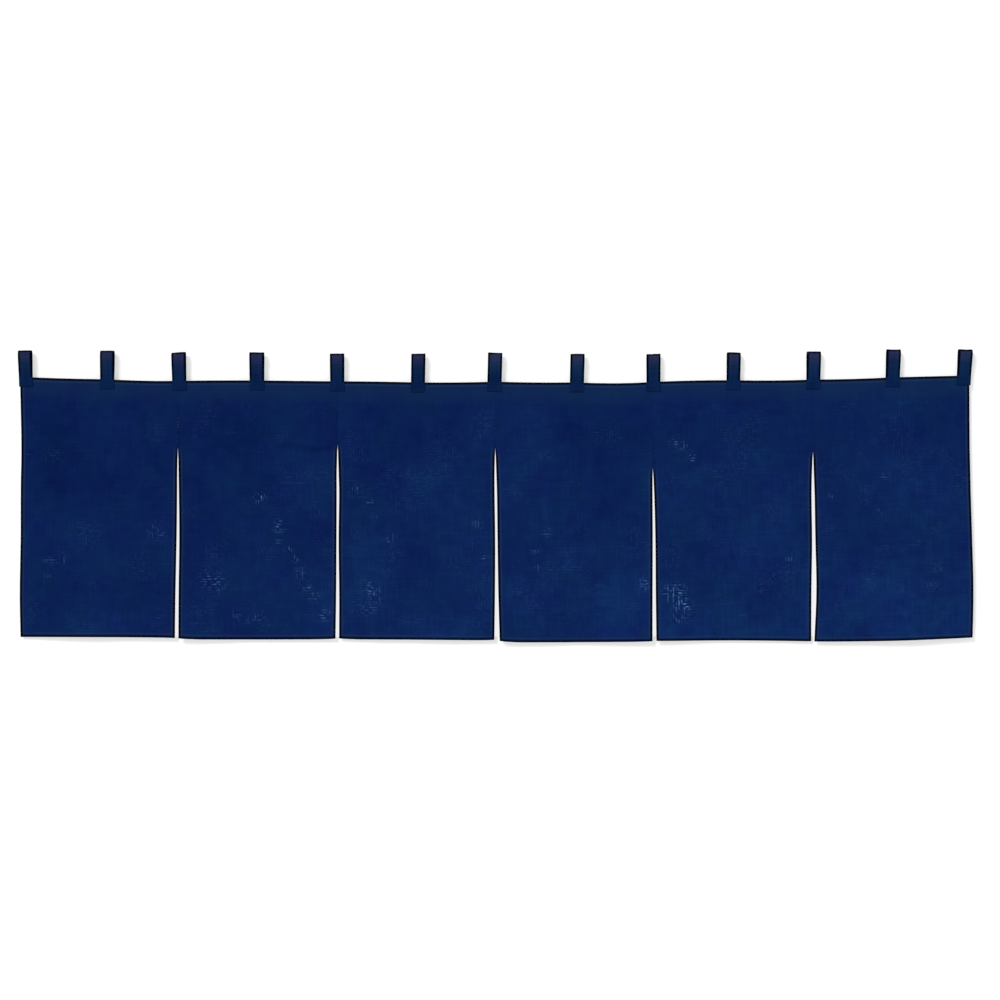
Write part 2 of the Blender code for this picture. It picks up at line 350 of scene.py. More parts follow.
# %% From the tables to the cloth
def along_crease(crease, x, z):
    """How fully each point lies in a crease, from 0 to 1. x and z are in millimetres."""
    start_x, start_z = on_panel(crease.panel, crease.across, crease.down)
    end_x, end_z = on_panel(crease.panel, crease.to_across, crease.to_down)
    run_x, run_z = end_x - start_x, end_z - start_z
    length = math.hypot(run_x, run_z)
    share = ((x - start_x) * run_x + (z - start_z) * run_z) / length**2
    aside = ((x - start_x) * run_z - (z - start_z) * run_x) / length
    bow = 0.04 * length * np.sin(np.pi * np.clip(share, 0.0, 1.0))
    ends = smoothstep((share + 0.15) / 0.35) * smoothstep((1.15 - share) / 0.35)
    return ends * np.exp(-(((aside - bow) / crease.width) ** 2))


def patches(table, x, z):
    """The sum of a table of soft round patches at each point, in millimetres."""
    total = np.zeros_like(x)
    for patch in table:
        away = ((x - patch.x) / patch.reach_x) ** 2 + ((z - patch.z) / patch.reach_z) ** 2
        total += patch.amount * np.exp(-away)
    return total


# %% [markdown]
# ## A cloth with two faces
#
# A real cloth has a thickness, and its hems have three layers of it. So each piece is a closed shell:
# a front face and a back face that share one ring of points round the edge. Both faces come from the
# same grid of points, pushed apart along the cloth's normal. Close to an edge they draw together in a
# quarter circle, which is what a folded edge looks like from the side.

# %% Closed shell from a front and a back grid
def put_in_scene(name, data):
    """An object in the scene that holds a mesh, a lamp or a camera."""
    made = bpy.data.objects.new(name, data)
    bpy.context.scene.collection.objects.link(made)
    return made


def mesh_piece(name, points, edges, faces):
    """An object in the scene with a mesh of these points, edges and faces."""
    mesh = bpy.data.meshes.new(name)
    mesh.from_pydata(points, edges, faces)
    return put_in_scene(name, mesh)


def closed_sheet(name, front, back, marks, across, down):
    """A closed mesh from two grids of points that meet at their borders.

    marks are named numbers for every grid point, and across and down are the cloth's own
    coordinates in metres, which become its UV map.
    """
    rows, columns = front.shape[:2]
    front_index = np.arange(rows * columns).reshape(rows, columns)
    inner = (rows - 2) * (columns - 2)
    back_index = front_index.copy()
    back_index[1:-1, 1:-1] = rows * columns + np.arange(inner).reshape(rows - 2, columns - 2)
    points = np.vstack([front.reshape(-1, 3), back[1:-1, 1:-1].reshape(-1, 3)])

    def quads(index, turned):
        corners = [index[:-1, :-1], index[:-1, 1:], index[1:, 1:], index[1:, :-1]]
        if turned:
            corners.reverse()
        return np.stack([c.ravel() for c in corners], axis=1)

    faces = np.vstack([quads(front_index, True), quads(back_index, False)])
    piece = mesh_piece(name, points.tolist(), [], faces.tolist())
    mesh = piece.data

    def to_points(grid):
        return np.concatenate([grid.ravel(), grid[1:-1, 1:-1].ravel()])

    for mark, grid in marks.items():
        layer = mesh.attributes.new(mark, "FLOAT", "POINT")
        layer.data.foreach_set("value", to_points(grid).astype(np.float32))
    loops = np.empty(len(mesh.loops), int)
    mesh.loops.foreach_get("vertex_index", loops)
    places = np.stack([to_points(across)[loops], to_points(down)[loops]], axis=1)
    mesh.uv_layers.new(name="cloth").uv.foreach_set("vector", places.astype(np.float32).ravel())
    mesh.shade_smooth()
    return piece


def rounding(distance, radius=EDGE_RADIUS):
    """How full the cloth is at a distance in millimetres from a folded edge, from 0 to 1."""
    gap = 1.0 - np.clip(distance / radius, 0.0, 1.0)
    return np.sqrt(1.0 - gap * gap)


# %% [markdown]
# ## Sewing one panel
#
# The grid is fine at the folded edges, the seams and the hems' inner edges, and coarser in the open
# cloth. Rows and columns near an edge keep their distance from it in millimetres, so a hem stays as
# deep as it was folded however the edge runs. Above the slit the panel is sewn to its neighbour, so
# its side reaches a hair past the CAD edge there and no light comes between the two.

# %% Rows and columns of the grid
EDGE_INSETS = (0.0, 0.12, 0.4, 0.85)


def hem_insets(depth):
    """Distances from an edge that give its round fold, the seam and the hem's inner edge their shape."""
    seam = depth - SEAM_INSET
    middle = np.linspace(EDGE_INSETS[-1], seam - 0.8, max(2, round((seam - 1.6) / CLOTH_STEP) + 1))
    fold = (seam - 0.4, seam, seam + 0.4, depth - 0.5, depth, depth + 0.5, depth + 2.0)
    return np.array([*EDGE_INSETS, *middle[1:], *fold])


SEAM_FROM_INNER = 6          # the seam's place in a list of insets, counted from its inner end
SIDE_INSETS = hem_insets(SIDE_HEM)
TOP_INSETS = hem_insets(HEADING_HEM)
FOOT_INSETS = hem_insets(FOOT_HEM)
print("insets at a side:", [round(float(v), 2) for v in SIDE_INSETS])


def stations(first, last, length):
    """(share, inset) down one way of the grid: insets from both ends and even shares between."""
    count = round((length - first[-1] - last[-1]) / CLOTH_STEP)
    between = np.arange(1, count) / count
    shares = np.concatenate([np.zeros(len(first)), between, np.ones(len(last))])
    slide = first[-1] - (first[-1] + last[-1]) * between
    return shares, np.concatenate([first, slide, -last[::-1]]) * MM


# %% Where a panel is open to its neighbour
SEAM_OVERLAP = 0.05 * MM
SLIT_SHOWS = (0.8 * MM, 1.8 * MM)


def gap_beside(name, side, z):
    """How wide the gap is on one side of a panel at a height; the curtain's ends are wide open."""
    neighbour = PANELS.index(name) + (1 if side else -1)
    if not 0 <= neighbour < len(PANELS):
        return np.full_like(z, 1.0)
    own, other = lines[name][side], lines[PANELS[neighbour]][1 - side]
    return np.abs(read(other, z) - read(own, z))


def openness(name, side, z):
    """0 where a panel's side is sewn to its neighbour and 1 where the slit is open."""
    low, high = SLIT_SHOWS
    return smoothstep((gap_beside(name, side, z) - low) / (high - low))


def sewn_reach(name, side, z):
    """How far a panel's side reaches past the CAD edge to meet its neighbour."""
    return (gap_beside(name, side, z) / 2.0 + SEAM_OVERLAP) * (1.0 - openness(name, side, z))


# %% One panel
EDGE_SHADE_WIDTH = 4.3                              # how wide a panel's folded edge is painted dark, as deep dye and painted shade
TAB_EDGE_SHADE_WIDTH = 4.1                          # and a loop's
HIGHLIGHT_AT, HIGHLIGHT_WIDTH = 5.9, 1.4           # how far in from the edge the painted highlight line lies
WRINKLES_FROM, WRINKLES_GROW = 22.0, 60.0    # wrinkles begin this far down and grow over so much more
SWELL, RIPPLE, CRINKLE = 0.9, 0.45, 0.10     # how far wide, hand-sized and fine wrinkles go
PUCKER, PUCKER_REACH = 0.42, 7.0             # how far a seam draws the cloth up, and how far beside it
GROOVE, GROOVE_WIDTH = 0.16, 0.7             # how far back a seam draws the cloth, and how wide
HEADING_END, HEADING_FADE = 6.0, 34.0        # the greener tone ends below the hem and grows upward
HALF_SPAN, DROP = 900.0, 500.0               # the curtain's rough size, for changes of tone across it
NEXT_PANEL = 0.37                            # metres across the weave from one panel to the next
# The tone runs from 0, where the cloth is darkest, to 1, where it is palest. These are its middle and
# how far it changes from left to right, towards both ends, down the cloth and in soft blotches.
TONE, TONE_SIDE, TONE_ENDS, TONE_DOWN, TONE_BLOTCH = 0.42, 0.10, -0.08, 0.15, 0.12


def dyed_and_shaded_edge(distance, width=EDGE_SHADE_WIDTH):
    """How dark a folded edge is painted, as deep dye and painted shade, at distances in millimetres."""
    return np.exp(-((distance / width) ** 6))


def painted_highlight_line(distance):
    """A painted highlight line a little inside a folded edge, beside its painted dark edge."""
    return np.exp(-(((distance - HIGHLIGHT_AT) / HIGHLIGHT_WIDTH) ** 2))


def make_panel(name):
    """One length of cloth with its hems, wrinkles and creases, and the grids it was made from."""
    left, right, top, foot = lines[name]
    low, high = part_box(name)
    number = PANELS.index(name)
    width, length = (high.x - low.x) / MM, (high.z - low.z) / MM
    shares_across, insets_across = stations(SIDE_INSETS, SIDE_INSETS, width)
    shares_down, insets_down = stations(TOP_INSETS, FOOT_INSETS, length)
    across, down = np.meshgrid(shares_across, shares_down)
    inset_x, inset_z = np.meshgrid(insets_across, insets_down)

    z = high.z - down * length * MM
    # The sides depend on the height and the ends on the place across, so a few rounds settle both.
    for _ in range(4):
        low_x = read(left, z) - sewn_reach(name, 0, z)
        high_x = read(right, z) + sewn_reach(name, 1, z)
        x = low_x + (high_x - low_x) * across + inset_x
        high_z, low_z = read(top, x), read(foot, x)
        z = high_z + (low_z - high_z) * down - inset_z

    from_left, from_right = (x - low_x) / MM, (high_x - x) / MM
    from_top, from_foot = (high_z - z) / MM, (z - low_z) / MM
    down_shares = np.mean(from_top / (from_top + from_foot), axis=1)
    across_shares = np.mean(from_left / (from_left + from_right), axis=0)
    y = middle_surface(name, down_shares, across_shares)

    sides = np.minimum(from_left, from_right)
    hems = np.maximum.reduce([
        smoothstep((SIDE_HEM + HEM_SLOPE / 2 - sides) / HEM_SLOPE),
        smoothstep((FOOT_HEM + HEM_SLOPE / 2 - from_foot) / HEM_SLOPE),
        smoothstep((HEADING_HEM + HEM_SLOPE / 2 - from_top) / HEM_SLOPE),
    ])
    # Two sewn edges are pulled tight together, so their folds are sharper than free ones.
    open_left, open_right = openness(name, 0, z), openness(name, 1, z)
    fullness = rounding(from_left, SEWN_RADIUS + (EDGE_RADIUS - SEWN_RADIUS) * open_left)
    fullness *= rounding(from_right, SEWN_RADIUS + (EDGE_RADIUS - SEWN_RADIUS) * open_right)
    fullness *= rounding(from_top) * rounding(from_foot)

    def field(seed, cells_down, cells_across):
        return soft_field(seed + 10 * number, down_shares, across_shares, cells_down, cells_across)

    loose = smoothstep((from_top - WRINKLES_FROM) / WRINKLES_GROW)
    wrinkles = loose * (SWELL * field(1, 7, 4) + RIPPLE * field(2, 18, 11))
    wrinkles += CRINKLE * field(3, 60, 36)
    pucker = 0.0
    for seed, distance, cells in (
        (4, sides - (SIDE_HEM - SEAM_INSET), (52, 3)),
        (5, from_foot - (FOOT_HEM - SEAM_INSET), (3, 30)),
        (6, from_top - (HEADING_HEM - SEAM_INSET), (3, 26)),
    ):
        pulled = np.exp(-((distance / PUCKER_REACH) ** 2))
        groove = np.exp(-((distance / GROOVE_WIDTH) ** 2))
        pucker = pucker + PUCKER * pulled * field(seed, *cells) + GROOVE * groove
    x_mm, z_mm = x / MM, z / MM
    folds = sum(crease.depth * along_crease(crease, x_mm, z_mm) for crease in CREASES)
    # Painted shade: the tone is darkened along each crease, and lightened along the one ridge.
    shade = sum(crease.shade * along_crease(crease, x_mm, z_mm) for crease in CREASES)
    # Nothing creases or puckers under the loops' sewn legs, which press the heading flat: a loop's
    # leg lies only a few tenths of a millimetre from the hem.
    free = smoothstep((from_top - LEG_LENGTH) / LEG_RELEASE)
    y = y + (wrinkles + pucker + folds) * free * MM

    front_half = (CLOTH_FRONT + (HEM_FRONT - CLOTH_FRONT) * hems) * fullness * MM
    back_half = (CLOTH_FRONT + (HEM_BACK - CLOTH_FRONT) * hems) * fullness * MM
    front = np.stack([x, y - front_half, z], axis=2)
    back = np.stack([x, y + back_half, z], axis=2)

    edges = ((from_left, open_left), (from_right, open_right), (from_top, 1.0), (from_foot, 1.0))
    # The folded edges are painted dark: partly deep dye, partly painted shade along the edge.
    edge_dye_and_shade = np.maximum.reduce([dyed_and_shaded_edge(distance) * strength for distance, strength in edges])
    # A painted highlight runs a little inside each folded edge.
    edge_highlight = np.maximum.reduce([painted_highlight_line(distance) * strength for distance, strength in edges])
    heading = smoothstep((HEADING_HEM + HEADING_END - from_top) / HEADING_FADE)
    side, deep = x_mm / HALF_SPAN, smoothstep((from_top / DROP - 0.15) / 0.8)
    tone = TONE + TONE_SIDE * side + TONE_ENDS * side**2 + TONE_DOWN * deep
    tone = tone - shade - patches(DYE_PATCHES, x_mm, z_mm) + TONE_BLOTCH * field(7, 5, 4)
    loosened = patches(OPEN_WEAVE, x_mm, z_mm) + 0.08 * np.clip(field(8, 14, 9) - 0.1, 0.0, 1.0)
    open_weave = np.clip(loosened, 0.0, 1.0) * (1.0 - 0.7 * hems)
    marks = {
        "tone": tone,
        "heading": heading,
        "edge_dye_and_shade": edge_dye_and_shade,
        "edge_highlight": edge_highlight,
        "open_weave": open_weave,
    }
    cloth_across = number * NEXT_PANEL + from_left * MM
    piece = closed_sheet(name + "_cloth", front, back, marks, cloth_across, -from_top * MM)
    return piece, front, back


panels = {name: make_panel(name) for name in PANELS}
for name, (piece, front, back) in panels.items():
    print(piece.name, "grid", front.shape[:2], "faces", len(piece.data.polygons))

# %% [markdown]
# ## Folding one loop
#
# A loop is a doubled strip of the same cloth. It starts on the front of the heading, goes up and over
# where the rod would be, and comes down the back. Its path is read from the CAD loop's box: two flat
# legs, a soft spread above the heading and a half-round crown. The two layers are turned in along both
# long edges, which leaves a faint ridge a few millimetres inside each edge.

# %% The path of a loop
LEG_SEEN_AT = 5.0 * MM       # how far above a leg's foot its place is read


def top_of_heading(x):
    """The height of the curtain's top edge at a place."""
    name = min(PANELS, key=lambda n: abs((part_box(n)[0].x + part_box(n)[1].x) / 2.0 - x))
    return float(read(lines[name][2], x))


def leg_height(name):
    """How far in front of the curtain's middle the middle of a loop's front leg lies."""
    low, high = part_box(name)
    start = Vector(((low.x + high.x) / 2.0, -FAR, low.z + LEG_SEEN_AT))
    hit = faces_of(name).ray_cast(start, Vector((0.0, 1.0, 0.0)))[0]
    return -hit.y - TAB_THICKNESS / 2.0 * MM


def loop_path(name):
    """Points (y, z) of a loop's middle, from the front leg's foot over the crown to the back's."""
    low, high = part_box(name)
    half = TAB_THICKNESS / 2.0 * MM
    radius = (high.y - low.y) / 2.0 - half
    centre = high.z - half - radius
    head = top_of_heading((low.x + high.x) / 2.0)
    leg = leg_height(name)
    rise = np.linspace(low.z, centre, round((centre - low.z) / (TAB_STEP * MM)))
    spread = smoothstep((rise - head) / (centre - head))
    turn = np.linspace(0.0, np.pi, round(np.pi * radius / (TAB_STEP * MM)))[1:-1]
    y = -leg - (radius - leg) * spread
    path_y = np.concatenate([y, -radius * np.cos(turn), -y[::-1]])
    path_z = np.concatenate([rise, centre + radius * np.sin(turn), rise[::-1]])
    return np.stack([path_y, path_z], axis=1)


path = loop_path(TABS[0])
print(TABS[0], "path points", len(path), "length", round(float(np.hypot(*np.diff(path.T)).sum()), 4))

# %% One loop
TAB_SIDES = (0.0, 0.12, 0.4, 0.85, 1.6, 2.6, 4.0, 5.2, 6.2)   # lines of points beside a long edge
TAB_MIDDLE = 7               # and between the two sides
TURNED_IN = 5.2              # how far each long edge is turned in
TAB_HALF = 0.62              # half the thickness of the doubled strip in its middle
LEG_EDGE_SHADE = 0.06               # how much of the painted dark edge, dye and painted shade, a sewn leg keeps
CROWN_SHADE_WIDTH = 4.0              # how wide the painted shade over the top of the crown is
RIDGE, RIDGE_WIDTH = 0.16, 1.2         # the ridge where the edges are turned in
EDGE_FULL, EDGE_FULL_WIDTH = 0.12, 3.0  # and the fullness of the edges themselves
PRESSED = 0.12               # how much thinner a leg is pressed where it is sewn down
PRESSED_TO = 17.0            # how far from its end it is held
PRESSED_FADE, FREE_GROW = 12.0, 10.0   # and over how much it thins, and comes free
TAB_SWELL, TAB_RIPPLE, TAB_CRINKLE = 0.50, 0.22, 0.05  # wide, small and fine wrinkles
STRIP_START, NEXT_STRIP = 3.0, 0.05    # metres across the weave to the first strip, and the next


def make_tab(name):
    """One loop with its rounded edges and small wrinkles, and the grids it was made from."""
    number = TABS.index(name)
    low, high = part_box(name)
    head = top_of_heading((low.x + high.x) / 2.0) / MM
    path = loop_path(name)
    step = np.gradient(path, axis=0)
    step /= np.linalg.norm(step, axis=1)[:, None]
    out = np.stack([-step[:, 1], step[:, 0]], axis=1)
    gone = np.concatenate([[0.0], np.cumsum(np.hypot(*np.diff(path.T)))]) / MM
    length = gone[-1]
    ends = np.array(TAB_SIDES[:4])
    at = np.concatenate([ends, gone[(gone > 1.2) & (gone < length - 1.2)], length - ends[::-1]])
    path = np.stack([np.interp(at, gone, path[:, k]) for k in (0, 1)], axis=1)
    out = np.stack([np.interp(at, gone, out[:, k]) for k in (0, 1)], axis=1)

    heights = np.linspace(low.z + 1.0 * MM, high.z - 8.0 * MM, 24)
    left, right = outline(name, Z, heights, X, 0), outline(name, Z, heights, X, 1)
    z_line = np.clip(path[:, 1], heights[0], heights[-1])
    low_x, high_x = read(left, z_line), read(right, z_line)
    width = float(np.mean(high_x - low_x)) / MM
    sides = np.array(TAB_SIDES)
    middle = np.linspace(sides[-1], width - sides[-1], TAB_MIDDLE + 2)[1:-1]
    insets = np.concatenate([sides, middle, width - sides[::-1]])
    x = low_x[:, None] + (high_x - low_x)[:, None] * insets / width

    along, aside = np.meshgrid(at, insets, indexing="ij")
    from_side = np.minimum(aside, width - aside)
    from_end = np.minimum(along, length - along)
    fullness = rounding(from_side) * rounding(from_end)
    ridge = RIDGE * np.exp(-(((from_side - TURNED_IN) / RIDGE_WIDTH) ** 2))
    ridge += EDGE_FULL * np.exp(-((from_side / EDGE_FULL_WIDTH) ** 2))
    pressed = smoothstep((PRESSED_TO - from_end) / PRESSED_FADE)
    half = (TAB_HALF + ridge * (1.0 - 0.7 * pressed) - PRESSED * pressed) * fullness * MM

    def field(seed, cells_down, cells_across):
        return soft_field(
            400 + seed + 10 * number, at / length, insets / width, cells_down, cells_across
        )

    free = smoothstep((from_end - PRESSED_TO) / FREE_GROW)
    swell = free * (TAB_SWELL * field(1, 9, 2) + TAB_RIPPLE * field(2, 26, 5))
    swell += TAB_CRINKLE * field(3, 60, 14)
    # The crown tilts a little, as the CAD loop's does.
    crown_side = read(left, heights[-1]) + 2.0 * MM, read(right, heights[-1]) - 2.0 * MM
    crown_left, crown_right = (reach(name, X, place, Z)[1] for place in crown_side)
    up = smoothstep((path[:, 1] - low.z) / (high.z - low.z))[:, None]
    level = high.z - max(crown_left, crown_right)
    tilt = (crown_right - crown_left) * (aside / width - 0.5) - level / 2.0
    out_y, out_z = out[:, 0:1], out[:, 1:2]
    middle_y = path[:, 0:1] + out_y * swell * MM
    middle_z = path[:, 1:2] + out_z * swell * MM + tilt * up

    outer = np.stack([x, middle_y + out_y * half, middle_z + out_z * half], axis=2)
    inner = np.stack([x, middle_y - out_y * half, middle_z - out_z * half], axis=2)
    height = (middle_z - low.z) / (high.z - low.z)
    # The painted dark edge, dye and painted shade, is strong where the loop stands free, and fades where
    # its leg lies on the heading.
    above = smoothstep((middle_z / MM - head + 1.5) / 3.0)
    near_edge = dyed_and_shaded_edge(np.minimum(from_side, from_end), TAB_EDGE_SHADE_WIDTH)
    side_edge_shade = (LEG_EDGE_SHADE + (1.0 - LEG_EDGE_SHADE) * above) * near_edge
    # Painted shade: the top of the crown is painted dark where it turns away from the front.
    crown_painted_shade = dyed_and_shaded_edge((high.z - middle_z) / MM, CROWN_SHADE_WIDTH)
    marks = {
        # The tone is random unevenness, raised as a painted highlight along the ridges beside the
        # turned-in edges and along the full long edges.
        "tone": 0.5 + 0.16 * field(4, 6, 2) + 0.12 * ridge / RIDGE,
        "edge_dye_and_shade": np.maximum(side_edge_shade, crown_painted_shade),
        "fold": smoothstep((height - 0.15) / 0.85),
    }
    across = STRIP_START + NEXT_STRIP * number + aside * MM
    # The path runs up the front and the shell's rows run down it, so the grids are turned about.
    piece = closed_sheet(name + "_cloth", outer[::-1], inner[::-1],
                         {k: v[::-1] for k, v in marks.items()}, across[::-1], -along[::-1] * MM)
    return piece, outer, inner, at, insets


tabs = {name: make_tab(name) for name in TABS}
for name, (piece, outer, inner, at, insets) in tabs.items():
    print(piece.name, "grid", outer.shape[:2], "faces", len(piece.data.polygons))

# %% [markdown]
# ## Stitches
#
# The hems are held by running seams of indigo thread, and each leg of a loop by a small box of
# stitches. A seam is a row of short threads, each a few millimetres long, that dip into the cloth at
# both ends. The path of each seam is a line of points on the cloth that was just made. Geometry Nodes
# set the stitches along it: the path is cut into equal steps, one small thread is placed at each and
# turned along the path, and the copies are made real, so that the mesh keeps them.

# %% The seams' paths
LIFT = 0.10 * MM


def lifted(points, outward):
    """A seam's path, raised a little so that the threads lie on the cloth."""
    return points + np.array([0.0, outward * LIFT, 0.0])


def panel_seams(front, back):
    """The paths of a panel's four seams, on both faces."""
    side, top, foot = (len(i) - SEAM_FROM_INNER for i in (SIDE_INSETS, TOP_INSETS, FOOT_INSETS))
    found = []
    for grid, outward in ((front, -1.0), (back, 1.0)):
        for seam in (grid[top, 2:-2], grid[-1 - foot, 2:-2], grid[top:-2, side], grid[top:-2, -1 - side]):
            found.append(lifted(seam, outward))
    return found


hem_paths = [path for _, front, back in panels.values() for path in panel_seams(front, back)]
print("hem seams:", len(hem_paths))

# %% A bar of stitches where each slit begins
BAR_HALF = 4.5 * MM
BAR_ROWS = (1.5, 2.6, 3.7)   # how far above the tip of the slit each row lies
APEX_BETWEEN = (-0.4, -0.1)  # the heights between which every slit begins
APEX_STEPS = 301


def slit_apex(left_name):
    """The height at which the slit on the right of a panel begins."""
    heights = np.linspace(*APEX_BETWEEN, APEX_STEPS)
    gaps = gap_beside(left_name, 1, heights)
    return float(heights[gaps > SLIT_SHOWS[0]].max())


def surface_y(name, x, z):
    """The front face of a panel at a place, from its nearest grid point."""
    front = panels[name][1]
    away = (front[:, :, 0] - x) ** 2 + (front[:, :, 2] - z) ** 2
    return front[np.unravel_index(np.argmin(away), away.shape)][1]


bar_paths = []
for left_name, right_name in zip(PANELS, PANELS[1:]):
    apex = slit_apex(left_name)
    seam_x = float(read(lines[left_name][1], apex))
    for row in BAR_ROWS:
        z = apex + row * MM
        places = np.linspace(seam_x - BAR_HALF, seam_x + BAR_HALF, 7)
        names = [left_name if x < seam_x else right_name for x in places]
        nearest = min(surface_y(n, x, z) for n, x in zip(names, places))
        bar_paths.append(np.array([(x, nearest - LIFT, z) for x in places]))
    print(left_name, "slit begins at z =", round(apex, 4))


# %% The loops' boxes of stitches
BOX_INSET = 2.6
BOX_FOOT = 2.6
BOX_TOP = 15.5


def tab_box(outer, at, insets):
    """The box of seams on each leg of a loop."""
    columns = [int(np.argmin(abs(insets - d))) for d in (BOX_INSET, insets[-1] - BOX_INSET)]
    found = []
    for first, last in ((BOX_FOOT, BOX_TOP), (at[-1] - BOX_TOP, at[-1] - BOX_FOOT)):
        rows = [int(np.argmin(abs(at - d))) for d in (first, last)]
        outward = -1.0 if first < at[-1] / 2.0 else 1.0
        for row in rows:
            found.append(lifted(outer[row, columns[0]:columns[1] + 1], outward))
        for column in columns:
            found.append(lifted(outer[rows[0]:rows[1] + 1, column], outward))
    return found


box_paths = [path for _, outer, _, at, insets in tabs.values() for path in tab_box(outer, at, insets)]
print("loop seams:", len(box_paths))


# %% The stitching tree
# Settings that many nodes share: a product, a product with something added, and a mix of colours.
TIMES = {"operation": "MULTIPLY"}
TIMES_PLUS = {"operation": "MULTIPLY_ADD"}
COLOURS = {"data_type": "RGBA"}


def feed(tree, node, inputs):
    """Gives a node's named inputs a value each, or a link from a socket or a node's first output."""
    for name, value in inputs.items():
        if isinstance(value, bpy.types.Node):
            value = value.outputs[0]
        if isinstance(value, bpy.types.NodeSocket):
            tree.links.new(value, node.inputs[name])
        else:
            node.inputs[name].default_value = value


def add(tree, kind, settings=(), inputs=()):
    """Adds a node with its own settings, and feeds its inputs."""
    made = tree.nodes.new(kind)
    for name, value in dict(settings).items():
        setattr(made, name, value)
    feed(tree, made, dict(inputs))
    return made


def stitching_tree():
    """Geometry Nodes that lay short threads along every path of a mesh of edges."""
    tree = bpy.data.node_groups.new("running_stitch", "GeometryNodeTree")
    sockets = {}
    for name, kind, value in (
        ("Seam paths", "NodeSocketGeometry", None),
        ("Stitch spacing", "NodeSocketFloat", 3.4 * MM),
        ("Stitch length", "NodeSocketFloat", 2.6 * MM),
        ("Thread radius", "NodeSocketFloat", 0.24 * MM),
        ("Seed", "NodeSocketInt", 3),
        ("Thread", "NodeSocketMaterial", None),
    ):
        sockets[name] = tree.interface.new_socket(name, in_out="INPUT", socket_type=kind)
        if value is not None:
            sockets[name].default_value = value
    tree.interface.new_socket("Stitches", in_out="OUTPUT", socket_type="NodeSocketGeometry")
    given = add(tree, "NodeGroupInput").outputs
    line = add(tree, "GeometryNodeMeshToCurve", inputs={"Mesh": given["Seam paths"]})
    steps = add(tree, "GeometryNodeResampleCurve", {"mode": "LENGTH"},
                {"Curve": line, "Length": given["Stitch spacing"]})
    tangent = add(tree, "GeometryNodeInputTangent")
    turned = add(tree, "FunctionNodeAlignRotationToVector", {"axis": "X"}, {"Vector": tangent})
    half = add(tree, "ShaderNodeMath", TIMES, {0: given["Stitch length"], 1: 0.5})
    vary = add(tree, "FunctionNodeRandomValue", {"data_type": "FLOAT"},
               {2: 0.88, 3: 1.12, "Seed": given["Seed"]})
    long = add(tree, "ShaderNodeMath", TIMES, {0: half, 1: vary.outputs[1]})
    size = add(tree, "ShaderNodeCombineXYZ", inputs={
        "X": long, "Y": given["Thread radius"], "Z": given["Thread radius"]})
    thread = add(tree, "GeometryNodeMeshUVSphere", inputs={"Segments": 6, "Rings": 4, "Radius": 1.0})
    # The sphere's poles lie on Z, and are turned to lie along the stitch.
    laid = add(tree, "GeometryNodeTransform", inputs={
        "Geometry": thread, "Rotation": (0.0, math.pi / 2.0, 0.0)})
    smooth = add(tree, "GeometryNodeSetShadeSmooth", inputs={"Geometry": laid})
    placed = add(tree, "GeometryNodeInstanceOnPoints", inputs={
        "Points": steps, "Instance": smooth, "Rotation": turned, "Scale": size})
    real = add(tree, "GeometryNodeRealizeInstances", inputs={"Geometry": placed})
    dressed = add(tree, "GeometryNodeSetMaterial", inputs={
        "Geometry": real, "Material": given["Thread"]})
    add(tree, "NodeGroupOutput", inputs={0: dressed})
    return tree, sockets


STITCHES, STITCH_INPUTS = stitching_tree()
print("stitching tree has", len(STITCHES.nodes), "nodes")


# %% Sewing along paths
THREAD_RADIUS = 0.21 * MM


def sew(name, paths, thread, spacing, length, seed):
    """One mesh of all the stitches along some paths, for sizes in millimetres."""
    starts = np.cumsum([0] + [len(path) for path in paths])
    edges = [(i, i + 1) for a, b in zip(starts, starts[1:]) for i in range(a, b - 1)]
    holder = mesh_piece(name + "_guide", np.vstack(paths).tolist(), edges, [])
    guide = holder.data
    sewing = holder.modifiers.new("Stitches", "NODES")
    sewing.node_group = STITCHES
    for label, value in (("Stitch spacing", spacing * MM), ("Stitch length", length * MM),
                         ("Thread radius", THREAD_RADIUS), ("Seed", seed), ("Thread", thread)):
        sewing[STITCH_INPUTS[label].identifier] = value
    graph = bpy.context.evaluated_depsgraph_get()
    mesh = bpy.data.meshes.new_from_object(holder.evaluated_get(graph))
    mesh.name = name
    bpy.data.objects.remove(holder)
    bpy.data.meshes.remove(guide)
    return put_in_scene(name, mesh)


# %% [markdown]
# ## Indigo hemp cloth
#
# The cloth is hemp in plain weave, dyed in the piece with indigo. To the eye that is a deep matt blue
# with almost no shine, a little greener where it is pale. The threads are spun by hand, so thick and
# thin stretches, called slubs, run both ways. The material mixes three depths of blue by a tone at
# each place, which holds painted shade along the creases, by soft mottling and by the slubs. Folded
# edges are painted nearly black, partly as dye taken in every layer and partly as painted shade.
# Where the weave is open, the gaps between the threads let a little light through, and that light is
# painted onto the threads round them as a paler blue.

# %% Colours and thread sizes
def linear(colour):
    """An sRGB hex colour as linear red, green, blue and alpha."""
    parts = [int(colour[i:i + 2], 16) / 255.0 for i in (1, 3, 5)]
    return *(p / 12.92 if p <= 0.04045 else ((p + 0.055) / 1.055) ** 2.4 for p in parts), 1.0


INDIGO_DEEP = "#071946"
INDIGO_BODY = "#0c2252"
INDIGO_PALE = "#113066"
INDIGO_HEADING = "#12294c"
# Nearly black, for the folded edges: deep dye and painted shade.
INDIGO_EDGE_SHADE = "#00030f"
# Pale, for the painted highlight line inside the folded edges.
INDIGO_EDGE_HIGHLIGHT = "#2e3d57"
INDIGO_LIT = "#4c76ae"
# Real hemp threads of this cloth lie about 0.9 mm apart, too fine to show at a doorway's distance, so
# the weave is drawn at 5.2 mm.
WEAVE_PITCH = 5.2 * MM
# One band of the wave texture is this many units wide at scale 1.
WAVE_LENGTH = math.pi / 10.0
